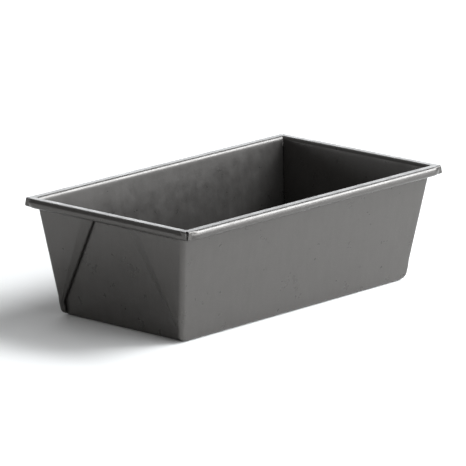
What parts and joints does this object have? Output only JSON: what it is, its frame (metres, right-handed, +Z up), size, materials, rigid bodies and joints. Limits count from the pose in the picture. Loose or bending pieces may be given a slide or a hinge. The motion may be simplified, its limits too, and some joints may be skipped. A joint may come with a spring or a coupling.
{
  "type": "loaf pan",
  "caption": "Tapered rectangular loaf pan folded from coated steel sheet, with triangular corner folds laid against the end walls and a rim curled round a steel wire.",
  "frame": {"origin": "middle of the pan's flat underside, on the surface that the pan stands on", "axes": "+X along the loaf, +Y across it, +Z up out of the pan's mouth"},
  "size_m": [0.2298, 0.1298, 0.0698],
  "materials": {
    "coated_steel": "semi-gloss grey non-stick coating on steel sheet",
    "wire_steel": "drawn bright wire"
  },
  "bodies": {
    "root": {"pan_shell": "coated_steel", "rim_wire": "wire_steel"}
  },
  "joints": []
}
